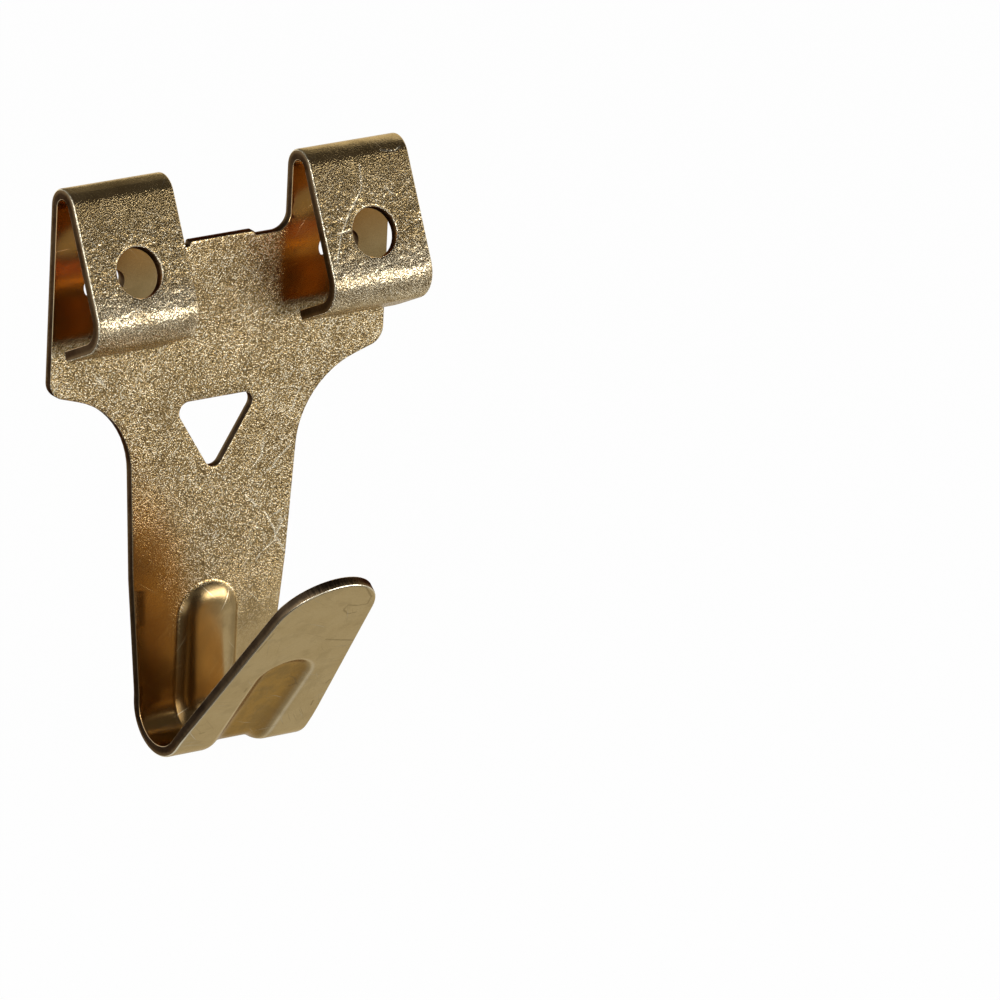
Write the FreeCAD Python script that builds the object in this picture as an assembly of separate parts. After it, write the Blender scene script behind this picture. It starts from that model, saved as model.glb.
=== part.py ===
# Two-nail picture hook: one blank of plated steel sheet, pierced, beaded and folded.
#
# The wall face of the plate lies in Y = 0, the front looks along -Y and +Z is up. The origin is on
# the wall face, on the centre line, level with the two nail slots. "Forward" is a distance from the
# wall along -Y. The outer skin is the side of the blank that touches the wall: it runs over the top
# of the ears to their faces, and round the hook bend to the outside of the lip.
import FreeCAD, Part
import math
import os

from FreeCAD import Vector

# Sheet
sheet = 0.9                  # thickness of the steel
edge_break = 0.15            # blunting that blanking leaves along the outer skin

# Plate
plate_width = 31.5
bar_rise = 1.9               # top edge of the bar above the nail line
tab_width = 6.1              # low tab on the bar, left by the strip that the blank was cut from
tab_rise = 0.4
wing_corner = 1.5            # lower outer corners of the plate
wing_slope = 17.0            # lower edges of the wings from the horizontal
flank_radius = 7.5           # hollow flanks between the wings and the stem
flank_drop = 16.73           # centres of the flanks below the nail line
flank_waist = 15.54          # across the stem between the two flanks
stem_bow = 225.0             # radius of the stem's slightly bulging edges
foot_radius = 8.0            # easing of the stem's edges into the hook bend

# Window
window_drop = 11.18          # top side below the nail line
window_width = 8.3           # top side between its sharp corners
window_height = 6.6          # top side to the sharp lower corner
window_corner = 0.85

# Ears
ear_width = 9.35
ear_root = 1.4               # fillet between the bar and an ear's inner edge
ear_bend_rise = 7.08         # axis of the top bend above the nail line
ear_bend_inner = 0.83
ear_lean = 26.7              # ear face from the vertical
ear_face_length = 8.95       # flat of the ear face between its bends
ear_fold_inner = 1.67        # lower fold, a right angle
ear_flange_length = 4.0      # flat of the flange that points back at the plate
ear_flange_corner = 0.8

# Nail holes
nail_hole = 4.1              # round hole in an ear face
slot_length = 3.8            # slot in the plate where the nail goes into the wall
slot_height = 2.1

# Hook
hook_drop = 35.87            # axis of the hook bend below the nail line
hook_inner = 2.79            # inside radius of the bend
hook_width = 12.5
lip_lean = 38.15             # lip from the vertical
lip_length = 21.9            # end of the bend to the tip
lip_tip_radius = 4.55
lip_flank_radius = 25.0      # easing of the bend's edges into the lip's taper

# Bead through the hook bend, pressed in from the outer skin
bead_width = 6.0
bead_depth = 0.6
bead_slope = 34.5            # flanks of the bead from the sheet
bead_shoulder = 1.25         # outer skin's radius where the bead starts
bead_floor = 2.0             # outer skin's radius where the bead levels out
bead_stem_length = 9.3       # along the stem, bend to rounded end
bead_lip_length = 11.6       # along the lip, bend to rounded end

# Places that follow from the sizes
half_width = plate_width / 2
half_hook = hook_width / 2
half_bead = bead_width / 2
ear_inner_x = half_width - ear_width
ear_centre_x = half_width - ear_width / 2
hook_angle = 180 - lip_lean
hook_axis = Vector(0, -(sheet + hook_inner), -hook_drop)

# Directions, and the limits for matching edges to the outer skin
SIDE = Vector(1, 0, 0)
FORWARD = Vector(0, -1, 0)
UP = Vector(0, 0, 1)
ON_SKIN = 1e-5
SQUARE_EDGE = math.radians(60)


def on_wall(x, z):
    """Point of the wall face."""
    return Vector(x, 0, z)


def line(start, end):
    """Straight edge."""
    return Part.LineSegment(start, end).toShape()


def minor_arc(centre, start, end):
    """Edge along the shorter arc about a centre."""
    middle = (start - centre) + (end - centre)
    middle.normalize()
    return Part.Arc(start, centre + middle * (start - centre).Length, end).toShape()


def tangent(centre_a, radius_a, centre_b, radius_b, turn):
    """Touching points, in the wall face, of a line that has both circles on one side."""
    along = centre_b - centre_a
    bearing = math.atan2(along.z, along.x)
    bearing += turn * math.acos((radius_a - radius_b) / along.Length)
    normal = Vector(math.cos(bearing), 0, math.sin(bearing))
    return centre_a + normal * radius_a, centre_b + normal * radius_b


def bulge(centre_a, radius_a, centre_b, radius_b, bow_radius):
    """Centre and touching points, in the wall face, of an arc that bulges out between two hollow ones."""
    along = centre_b - centre_a
    reach_a = bow_radius + radius_a
    reach_b = bow_radius + radius_b
    bearing = math.atan2(along.z, along.x)
    bearing -= math.acos((reach_a ** 2 + along.Length ** 2 - reach_b ** 2) / (2 * reach_a * along.Length))
    centre = centre_a + Vector(math.cos(bearing), 0, math.sin(bearing)) * reach_a
    touch_a = centre_a + (centre - centre_a) * (radius_a / reach_a)
    touch_b = centre_b + (centre - centre_b) * (radius_b / reach_b)
    return centre, touch_a, touch_b


def mirrored(shape):
    """Copy on the other side of the centre line."""
    return shape.mirror(Vector(0, 0, 0), SIDE)


def face_of(edges):
    """Flat face inside a closed set of edges."""
    return Part.Face(Part.Wire(Part.sortEdges(edges)[0]))


def symmetrical(right_half):
    """Face of an outline that is given by the edges of its right half."""
    return face_of(right_half + [mirrored(edge) for edge in right_half])


def sheet_section(outer_points, outer_edges, inner_points, inner_edges):
    """Cross-section of the sheet between its two skins."""
    ends = [line(outer_points[end], inner_points[end]) for end in (0, -1)]
    return face_of(outer_edges + inner_edges + ends)


def fold(shape):
    """Copy of what lies flat below the hook bend's axis, turned up into the lip."""
    folded = shape.copy()
    folded.rotate(hook_axis, -SIDE, hook_angle)
    return folded


def plate_face():
    """Wall side of the plate, from the ears' top bends to the hook bend, without its holes."""
    tab_turn = tab_rise / 2
    tab_top = on_wall(tab_width / 2 - tab_turn, bar_rise + tab_rise)
    tab_side = on_wall(tab_width / 2, bar_rise + tab_turn)
    tab_foot = on_wall(tab_width / 2 + tab_turn, bar_rise)

    root_centre = on_wall(ear_inner_x - ear_root, bar_rise + ear_root)
    root_start = on_wall(root_centre.x, bar_rise)
    root_end = on_wall(ear_inner_x, root_centre.z)
    ear_inner = on_wall(ear_inner_x, ear_bend_rise)
    ear_outer = on_wall(half_width, ear_bend_rise)

    flank_centre = on_wall(flank_waist / 2 + flank_radius, -flank_drop)
    slope = math.radians(wing_slope)
    outward = Vector(math.cos(slope), 0, math.sin(slope))
    square = Vector(-math.sin(slope), 0, math.cos(slope))
    flank_start = flank_centre + square * flank_radius
    above_flank = flank_start + square * wing_corner
    corner_run = (half_width - wing_corner - above_flank.x) / outward.x
    corner_centre = above_flank + outward * corner_run
    corner_start = on_wall(half_width, corner_centre.z)
    corner_end = corner_centre - square * wing_corner

    foot_centre = on_wall(half_hook + foot_radius, -hook_drop)
    foot_end = on_wall(half_hook, -hook_drop)
    bow_centre, flank_end, foot_start = bulge(flank_centre, flank_radius, foot_centre, foot_radius, stem_bow)
    return symmetrical([
        line(on_wall(0, tab_top.z), tab_top),
        minor_arc(on_wall(tab_top.x, tab_side.z), tab_top, tab_side),
        minor_arc(on_wall(tab_foot.x, tab_side.z), tab_side, tab_foot),
        line(tab_foot, root_start),
        minor_arc(root_centre, root_start, root_end),
        line(root_end, ear_inner),
        line(ear_inner, ear_outer),
        line(ear_outer, corner_start),
        minor_arc(corner_centre, corner_start, corner_end),
        line(corner_end, flank_start),
        minor_arc(flank_centre, flank_start, flank_end),
        minor_arc(bow_centre, flank_end, foot_start),
        minor_arc(foot_centre, foot_start, foot_end),
        line(foot_end, on_wall(0, -hook_drop)),
    ])


def lip_face():
    """Outer side of the lip, laid flat below the hook bend's axis as if it weren't folded."""
    tip_centre = on_wall(0, -hook_drop - lip_length + lip_tip_radius)
    flank_centre = on_wall(half_hook - lip_flank_radius, -hook_drop)
    root = on_wall(half_hook, -hook_drop)
    flank_end, tip_start = tangent(flank_centre, lip_flank_radius, tip_centre, lip_tip_radius, 1)
    return symmetrical([
        line(on_wall(0, -hook_drop), root),
        minor_arc(flank_centre, root, flank_end),
        line(flank_end, tip_start),
        minor_arc(tip_centre, tip_start, tip_centre - UP * lip_tip_radius),
    ])


def window():
    """Three-cornered window with rounded corners, cut right through the plate."""
    top = -window_drop
    corners = [(-window_width / 2, top), (window_width / 2, top), (0, top - window_height)]
    outline = Part.makePolygon([on_wall(x, z) for x, z in corners + corners[:1]])
    prism = Part.Face(outline).extrude(FORWARD * sheet)
    through = [edge for edge in prism.Edges if abs(edge.tangentAt(edge.FirstParameter).y) > 0.5]
    return prism.makeFillet(window_corner, through)


def nail_slot():
    """Slot behind the right ear, pierced right through the plate, with sharp edges."""
    radius = slot_height / 2
    top_left = on_wall(ear_centre_x - slot_length / 2 + radius, radius)
    top_right = on_wall(ear_centre_x + slot_length / 2 - radius, radius)
    down = UP * -slot_height
    outline = face_of([
        line(top_left, top_right),
        Part.Arc(top_right, top_right + SIDE * radius + down / 2, top_right + down).toShape(),
        line(top_right + down, top_left + down),
        Part.Arc(top_left + down, top_left - SIDE * radius + down / 2, top_left).toShape(),
    ])
    return outline.extrude(FORWARD * sheet)


def ear():
    """Right ear with its nail hole, and its outer skin.

    It goes over the top, down the leaning face and back in a flange. The nail hole is square to the
    face, and a nail through its middle meets the front of the plate in the middle of the slot.
    """
    lean = math.radians(ear_lean)
    out = Vector(0, -math.cos(lean), math.sin(lean))
    down = Vector(0, -math.sin(lean), -math.cos(lean))
    bend_outer = ear_bend_inner + sheet
    fold_outer = ear_fold_inner + sheet
    bend_axis = Vector(ear_inner_x, -bend_outer, ear_bend_rise)
    fold_axis = bend_axis + out * (bend_outer - fold_outer) + down * ear_face_length

    def skin(bend_radius, fold_radius):
        """Points and edges of one skin, from the plate to the flange's end."""
        points = [
            bend_axis - FORWARD * bend_radius,
            bend_axis + out * bend_radius,
            fold_axis + out * fold_radius,
            fold_axis + down * fold_radius,
            fold_axis + down * fold_radius - out * ear_flange_length,
        ]
        crown = (out - FORWARD).normalize()
        return points, [
            Part.Arc(points[0], bend_axis + crown * bend_radius, points[1]).toShape(),
            line(points[1], points[2]),
            minor_arc(fold_axis, points[2], points[3]),
            line(points[3], points[4]),
        ]

    outer_points, outer_edges = skin(bend_outer, fold_outer)
    inner_points, inner_edges = skin(ear_bend_inner, ear_fold_inner)
    solid = sheet_section(outer_points, outer_edges, inner_points, inner_edges).extrude(SIDE * ear_width)

    flange_end = (outer_points[-1] + inner_points[-1]) / 2
    corner_places = [flange_end, flange_end + SIDE * ear_width]
    corners = []
    for edge in solid.Edges:
        if any(edge.CenterOfMass.isEqual(place, ON_SKIN) for place in corner_places):
            corners.append(edge)
    solid = solid.makeFillet(ear_flange_corner, corners)

    nail_end = Vector(ear_centre_x, -sheet, 0)
    face_distance = (outer_points[1] - nail_end).dot(out)
    hole = Part.makeCylinder(nail_hole / 2, 2 * sheet, nail_end + out * (face_distance - 1.5 * sheet), out)
    return solid.cut(hole), Part.Wire(outer_edges).extrude(SIDE * ear_width)


def bead_half():
    """Right half of the bead's cross-section, square to the stem at the hook bend's axis."""
    slope = math.radians(bead_slope)
    turns = bead_shoulder + bead_floor
    flank = (bead_depth - turns * (1 - math.cos(slope))) / math.sin(slope)
    floor_x = half_bead - turns * math.sin(slope) - flank * math.cos(slope)

    def place(x, forward):
        """Point across the bead and forward of the wall."""
        return Vector(x, -forward, -hook_drop)

    def skin(offset):
        """Points and edges of one skin of the bead, from its shoulder to the centre line."""
        shoulder_axis = place(half_bead, bead_shoulder)
        floor_axis = place(floor_x, bead_depth - bead_floor)
        square = Vector(math.sin(slope), -math.cos(slope), 0)
        points = [
            place(half_bead, offset),
            shoulder_axis - square * (bead_shoulder - offset),
            floor_axis + square * (bead_floor + offset),
            place(floor_x, bead_depth + offset),
            place(0, bead_depth + offset),
        ]
        return points, [
            minor_arc(shoulder_axis, points[0], points[1]),
            line(points[1], points[2]),
            minor_arc(floor_axis, points[2], points[3]),
            line(points[3], points[4]),
        ]

    return sheet_section(*skin(0), *skin(sheet))


def bead_run(length, direction):
    """Solids of one straight run of the bead with its domed end, and the sheet that they replace."""
    half = bead_half()
    straight = direction * (length - half_bead)
    dome = half.revolve(on_wall(0, -hook_drop), FORWARD, 180 * direction.z)
    dome.translate(straight)
    runs = [side.extrude(straight) for side in (half, mirrored(half))]

    left = on_wall(-half_bead, -hook_drop)
    right = on_wall(half_bead, -hook_drop)
    top = on_wall(0, -hook_drop) + straight + direction * half_bead
    footprint = face_of([
        line(left, right),
        line(right, right + straight),
        Part.Arc(right + straight, top, left + straight).toShape(),
        line(left + straight, left),
    ])
    return runs + [dome], footprint.extrude(FORWARD * sheet)


def bend_strips():
    """Solids of the hook bend: the plain sheet each side of the bead, and the bead between them."""
    edge = Part.makePolygon([
        Vector(half_bead, 0, -hook_drop),
        Vector(half_hook, 0, -hook_drop),
        Vector(half_hook, -sheet, -hook_drop),
        Vector(half_bead, -sheet, -hook_drop),
        Vector(half_bead, 0, -hook_drop),
    ])
    sections = [Part.Face(edge), bead_half()]
    sections += [mirrored(section) for section in sections]
    return [section.revolve(hook_axis, -SIDE, hook_angle) for section in sections]


def bend_skin():
    """Outer skin of the hook bend."""
    across = line(on_wall(-half_hook, -hook_drop), on_wall(half_hook, -hook_drop))
    return across.revolve(hook_axis, -SIDE, hook_angle)


def middle_of(edge):
    """Point halfway along an edge."""
    return edge.valueAt((edge.FirstParameter + edge.LastParameter) / 2)


def normal_of(face, point):
    """Outward normal of a face at a point on it."""
    return face.normalAt(*face.Surface.parameter(point))


def break_edges(solid, outer_skin):
    """Blunt the square edges of the outer skin: the outline, the ears' holes and the window."""
    def on_skin(edge):
        return outer_skin.distToShape(Part.Vertex(middle_of(edge)))[0] < ON_SKIN

    rims = []
    for edge in solid.Edges:
        if not on_skin(edge):
            continue
        faces = solid.ancestorsOfType(edge, Part.Face)
        skin_faces = [face for face in faces if all(on_skin(side) for side in face.Edges)]
        if len(skin_faces) != 1 or len(faces) != 2:
            continue
        normals = [normal_of(face, middle_of(edge)) for face in faces]
        if normals[0].getAngle(normals[1]) > SQUARE_EDGE:
            rims.append(edge)
    return solid.makeChamfer(edge_break, rims)


def picture_hook():
    """The whole hook as one solid."""
    right_ear, right_ear_skin = ear()
    stem_bead, stem_footprint = bead_run(bead_stem_length, UP)
    lip_bead, lip_footprint = bead_run(bead_lip_length, -UP)

    plate = plate_face().extrude(FORWARD * sheet).cut([window(), stem_footprint])
    lip = lip_face().extrude(FORWARD * sheet).cut(lip_footprint)

    pieces = [right_ear, mirrored(right_ear), *stem_bead, *bend_strips()]
    pieces += [fold(piece) for piece in [lip, *lip_bead]]
    solid = plate.fuse(pieces).removeSplitter()
    outer_skin = Part.Compound([
        plate_face(), right_ear_skin, mirrored(right_ear_skin), bend_skin(), fold(lip_face()),
    ])
    slot = nail_slot()
    return break_edges(solid, outer_skin).cut([slot, mirrored(slot)])


os.makedirs("parts", exist_ok=True)
hook = picture_hook()
hook.exportStep("parts/picture_hook.step")
print("solids", len(hook.Solids), "valid", hook.isValid(), "volume", round(hook.Volume, 2))
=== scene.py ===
"""Studio picture of a two-nail picture hook, folded from one blank of brass-plated steel sheet.

The sheet is modelled as it is made: the blank is drawn, thickened, pierced and beaded while it lies flat
in the wall plane, and then folded strip by strip. Lengths of the hook are in millimetres until the
finished mesh is scaled to metres. The outer skin is the side of the blank that touches the wall: it runs
over the top of the ears to their faces, and round the hook bend to the outside of the lip.
"""
import logging
import math
from collections.abc import Callable
from dataclasses import dataclass, field
from enum import Enum

import bmesh
import bpy
from mathutils import Matrix, Vector


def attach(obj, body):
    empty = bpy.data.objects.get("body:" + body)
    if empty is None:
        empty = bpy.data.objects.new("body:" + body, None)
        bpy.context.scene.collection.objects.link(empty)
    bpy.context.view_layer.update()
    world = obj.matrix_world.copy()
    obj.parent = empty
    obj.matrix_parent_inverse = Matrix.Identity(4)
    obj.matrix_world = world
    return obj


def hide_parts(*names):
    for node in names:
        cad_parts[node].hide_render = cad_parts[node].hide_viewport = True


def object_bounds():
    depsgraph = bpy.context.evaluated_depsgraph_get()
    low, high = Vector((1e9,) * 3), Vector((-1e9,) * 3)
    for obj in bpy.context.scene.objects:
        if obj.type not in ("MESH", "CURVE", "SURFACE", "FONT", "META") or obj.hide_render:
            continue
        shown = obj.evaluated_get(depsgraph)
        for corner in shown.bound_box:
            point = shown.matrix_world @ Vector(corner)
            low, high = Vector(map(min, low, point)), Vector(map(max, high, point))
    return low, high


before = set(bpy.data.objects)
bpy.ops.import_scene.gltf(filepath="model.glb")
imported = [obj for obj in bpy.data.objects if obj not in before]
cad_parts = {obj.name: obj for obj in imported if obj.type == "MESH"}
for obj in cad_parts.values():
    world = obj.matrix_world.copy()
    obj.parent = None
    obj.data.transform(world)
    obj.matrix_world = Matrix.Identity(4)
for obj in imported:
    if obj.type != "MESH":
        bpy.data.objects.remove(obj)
cad_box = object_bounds()

log = logging.getLogger("picture_hook")

NODE = "picture_hook"
BODY = "root"
MM = 0.001
MERGE = 1e-4
BLANK = "blank"
PRESSED = "pressed"

FIRST_COLOUR, SECOND_COLOUR, MIXED_COLOUR = 6, 7, 2

Colour = tuple[float, float, float]
Strokes = tuple[tuple[tuple[float, float], ...], ...]
Piece = bpy.types.Object
Socket = bpy.types.NodeSocket
Sockets = bpy.types.bpy_prop_collection
Results = dict[str, Socket]

# Scratches with a place of their own: points across and along the flat blank, in millimetres.
PLATE_STROKES = (
    ((-11.41, -7.77), (-10.73, -8.46)),
    ((-11.2, -8.31), (-10.65, -8.06)),
    ((-11.31, -8.04), (-11.04, -7.75)),
    ((8.05, -11.53), (7.61, -12.31), (7.36, -13.11)),
    ((4.68, -15.73), (4.58, -16.73), (3.85, -17.54)),
    ((7.24, -16.4), (6.22, -17.17), (5.68, -17.84)),
    ((5.12, -18.17), (5.88, -17.96)),
    ((3.11, -19.96), (4.31, -21.09)),
    ((5.1, -21.73), (6.14, -23.44), (6.18, -24.29), (5.07, -24.96)),
    ((7.05, -22.39), (6.17, -23.95)),
    ((6.82, -21.68), (5.98, -22.05)),
    ((7.09, -25.3), (6.37, -24.15)),
    ((4.43, -25.71), (4.79, -25.25)),
)
EAR_STROKES = (
    ((10.96, 12.23), (10.67, 14.14), (9.09, 15.85), (7.8, 17.61), (7.01, 19.6)),
    ((7.67, 17.35), (8.85, 17.2)),
    ((13.22, 11.33), (14.47, 11.6), (15.1, 11.27)),
    ((12.83, 14.29), (13.42, 14.94)),
)
LIP_SCORES = (
    (
        (2.3, -66.2), (3.56, -64.52), (3.66, -63.4), (2.69, -63.46),
        (1.66, -63.85), (1.51, -63.2), (2.24, -62.4), (3.03, -62.4),
    ),
    ((1.83, -58.79), (4.83, -57.82)),
    ((-4.3, -61.5), (-4.55, -59.6), (-4.7, -58.9)),
    ((-4.94, -46.99), (-4.54, -47.12)),
    ((-3.15, -53.13), (-3.17, -52.64)),
    ((5.04, -48.89), (5.09, -48.24)),
    ((5.3, -51.94), (5.09, -51.51)),
    ((1.0, -52.51), (1.31, -52.73), (1.89, -52.49), (2.23, -51.83), (1.86, -51.35)),
)


class Skin(Enum):
    """Faces of the sheet, in the order of the piece's material slots."""

    OUTER = 0
    INNER = 1
    CUT = 2


def deselect_objects() -> None:
    """Leave no object selected."""
    bpy.ops.object.select_all(action="DESELECT")


def make_active(obj: Piece) -> None:
    """Select one object only and make it the active one.

    Args:
        obj: The object.
    """
    deselect_objects()
    obj.select_set(True)
    bpy.context.view_layer.objects.active = obj


def start_edit() -> None:
    """Go to edit mode."""
    bpy.ops.object.mode_set(mode="EDIT")


def end_edit() -> None:
    """Go back to object mode."""
    bpy.ops.object.mode_set(mode="OBJECT")


def select_mesh() -> None:
    """Select all of the edited mesh."""
    bpy.ops.mesh.select_all(action="SELECT")


def deselect_mesh() -> None:
    """Leave nothing of the edited mesh selected."""
    bpy.ops.mesh.select_all(action="DESELECT")


def extrude(x: float, y: float, z: float) -> None:
    """Extrude what is selected and move it."""
    bpy.ops.mesh.extrude_region_move(TRANSFORM_OT_translate={"value": (x, y, z)})


def spread(low: float, high: float, cells: int) -> list[float]:
    """Give the places that divide a stretch into equal cells, and both of its ends."""
    return [low + (high - low) * cell / cells for cell in range(cells + 1)]


def apply_modifier(obj: Piece, kind: str, **settings: object) -> None:
    """Add a modifier with its settings and apply it.

    Args:
        obj: Mesh object in object mode.
        kind: Type of the modifier.
        settings: Values of the modifier's properties.
    """
    make_active(obj)
    modifier = obj.modifiers.new(kind.title(), kind)
    for name, value in settings.items():
        setattr(modifier, name, value)
    bpy.ops.object.modifier_apply(modifier=modifier.name)


def turn(angle: float, axis_point: Vector) -> None:
    """Turn the selection about an axis along X.

    Args:
        angle: Right-handed angle about +X, in radians.
        axis_point: Point on the axis.
    """
    bpy.ops.transform.rotate(
        value=-angle, orient_axis="X", orient_type="GLOBAL", center_override=axis_point
    )


@dataclass
class Pen:
    """Draws outlines in a plane of constant Y, point by point, in the mesh that is being edited."""

    y: float
    arc_step: float = math.radians(6)
    here: Vector = field(default_factory=lambda: Vector((0, 0)))

    def start(self, point: Vector) -> None:
        """Put down a single vertex.

        Args:
            point: Its place across and along the blank.
        """
        deselect_mesh()
        bpy.ops.mesh.primitive_plane_add(size=1, location=(point.x, self.y, point.y))
        bpy.ops.mesh.merge(type="CENTER")
        self.here = point

    def line_to(self, point: Vector) -> None:
        """Extrude a straight edge.

        Args:
            point: Its far end.
        """
        step = point - self.here
        extrude(step.x, 0, step.y)
        self.here = point

    def arc_to(self, centre: Vector, point: Vector) -> None:
        """Spin the shorter arc about a centre.

        Args:
            centre: Centre of the arc.
            point: End of the arc.
        """
        angle = -(self.here - centre).angle_signed(point - centre)
        steps = max(2, math.ceil(abs(angle) / self.arc_step))
        bpy.ops.mesh.spin(
            steps=steps, angle=angle, center=(centre.x, self.y, centre.y), axis=(0, 1, 0)
        )
        self.here = point


@dataclass(frozen=True)
class Circle:
    """Circle in the plane of the blank."""

    centre: Vector
    radius: float


def tangent(upper: Circle, lower: Circle) -> tuple[Vector, Vector]:
    """Touching points of a line that passes to the right of two circles, going down.

    Args:
        upper: The upper circle.
        lower: The lower circle.

    Returns:
        Points on the upper and the lower circle.
    """
    along = lower.centre - upper.centre
    bearing = math.atan2(along.y, along.x) + math.acos((upper.radius - lower.radius) / along.length)
    normal = Vector((math.cos(bearing), math.sin(bearing)))
    return upper.centre + normal * upper.radius, lower.centre + normal * lower.radius


def bulge(upper: Circle, lower: Circle, radius: float) -> tuple[Vector, Vector, Vector]:
    """Arc that bulges out between two hollow ones on its right.

    Args:
        upper: Circle of the upper hollow arc.
        lower: Circle of the lower hollow arc.
        radius: Radius of the bulging arc.

    Returns:
        Centre of the bulging arc, and its points on the upper and the lower hollow arc.
    """
    along = lower.centre - upper.centre
    upper_reach = radius + upper.radius
    lower_reach = radius + lower.radius
    span = along.length
    bearing = math.atan2(along.y, along.x)
    bearing -= math.acos((upper_reach ** 2 + span ** 2 - lower_reach ** 2) / (2 * upper_reach * span))
    centre = upper.centre + Vector((math.cos(bearing), math.sin(bearing))) * upper_reach
    upper_touch = upper.centre + (centre - upper.centre) * (upper.radius / upper_reach)
    lower_touch = lower.centre + (centre - lower.centre) * (lower.radius / lower_reach)
    return centre, upper_touch, lower_touch


@dataclass
class Sheet:
    """Sizes of the sheet and of its cut edges."""

    thickness: float = 0.9
    roll: float = 0.19
    roll_steps: int = 4
    burr: float = 0.05
    burr_steps: int = 2


@dataclass
class Plate:
    """Sizes of the flat plate, its window and its nail slots."""

    width: float = 31.5
    bar_rise: float = 1.9
    tab_width: float = 6.1
    tab_rise: float = 0.4
    wing_corner: float = 1.5
    wing_slope: float = math.radians(17)
    flank_radius: float = 7.5
    flank_drop: float = 16.73
    flank_waist: float = 15.54
    stem_bow: float = 225.0
    foot_radius: float = 8.0
    window_drop: float = 11.18
    window_width: float = 8.3
    window_height: float = 6.6
    window_corner: float = 0.85
    slot_length: float = 3.8
    slot_height: float = 2.1


@dataclass
class Ears:
    """Sizes of the two folded ears."""

    width: float = 9.35
    root: float = 1.4
    bend_rise: float = 7.08
    bend_outer: float = 1.73
    lean: float = math.radians(26.7)
    face_length: float = 8.95
    fold_outer: float = 2.57
    flange_length: float = 4.0
    flange_corner: float = 0.8
    nail_hole: float = 4.1

    @property
    def bend_angle(self) -> float:
        """Turn of the top bend."""
        return math.pi - self.lean

    @property
    def face_start(self) -> float:
        """Upper end of the face along the flat blank."""
        return self.bend_rise + self.bend_outer * self.bend_angle

    @property
    def fold_start(self) -> float:
        """Lower end of the face along the flat blank."""
        return self.face_start + self.face_length

    @property
    def flange_start(self) -> float:
        """Start of the flange along the flat blank."""
        return self.fold_start + self.fold_outer * math.pi / 2

    @property
    def end(self) -> float:
        """End of the flange along the flat blank."""
        return self.flange_start + self.flange_length


@dataclass
class Hook:
    """Sizes of the hook bend, the lip and the bead that runs through them."""

    drop: float = 35.87
    bend_outer: float = 3.69
    width: float = 12.5
    lean: float = math.radians(38.15)
    lip_length: float = 21.9
    tip_radius: float = 4.55
    flank_radius: float = 25.0
    bead_width: float = 6.0
    bead_depth: float = 0.6
    bead_slope: float = math.radians(34.5)
    bead_shoulder: float = 1.25
    bead_floor: float = 2.0
    bead_stem_length: float = 9.3
    bead_lip_length: float = 11.6

    @property
    def bend_angle(self) -> float:
        """Turn of the hook bend."""
        return math.pi - self.lean

    @property
    def lip_start(self) -> float:
        """End of the bend along the flat blank."""
        return -self.drop - self.bend_outer * self.bend_angle

    @property
    def end(self) -> float:
        """Tip of the lip along the flat blank."""
        return self.lip_start - self.lip_length

    @property
    def bead_top(self) -> float:
        """Centre of the bead's upper dome along the flat blank."""
        return -self.drop + self.bead_stem_length - self.bead_width / 2

    @property
    def bead_bottom(self) -> float:
        """Centre of the bead's lower dome along the flat blank."""
        return self.lip_start - self.bead_lip_length + self.bead_width / 2

    def bead_rise(self, distance: float, shoulder: float, floor: float) -> float:
        """Height of the bead as a share of its depth.

        Args:
            distance: Distance from the bead's centre line.
            shoulder: Radius where the bead starts.
            floor: Radius where the bead levels out.

        Returns:
            A share from 0 beside the bead to 1 along its middle.
        """
        sine = math.sin(self.bead_slope)
        cosine = math.cos(self.bead_slope)
        flank = (self.bead_depth - (shoulder + floor) * (1 - cosine)) / sine
        inward = self.bead_width / 2 - distance
        level = (shoulder + floor) * sine + flank * cosine
        if inward <= 0:
            return 0.0
        if inward >= level:
            return 1.0
        if inward < shoulder * sine:
            rise = shoulder - math.sqrt(shoulder ** 2 - inward ** 2)
        elif inward < shoulder * sine + flank * cosine:
            rise = shoulder * (1 - cosine) + (inward - shoulder * sine) * sine / cosine
        else:
            rise = self.bead_depth - floor + math.sqrt(floor ** 2 - (level - inward) ** 2)
        return rise / self.bead_depth


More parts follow.
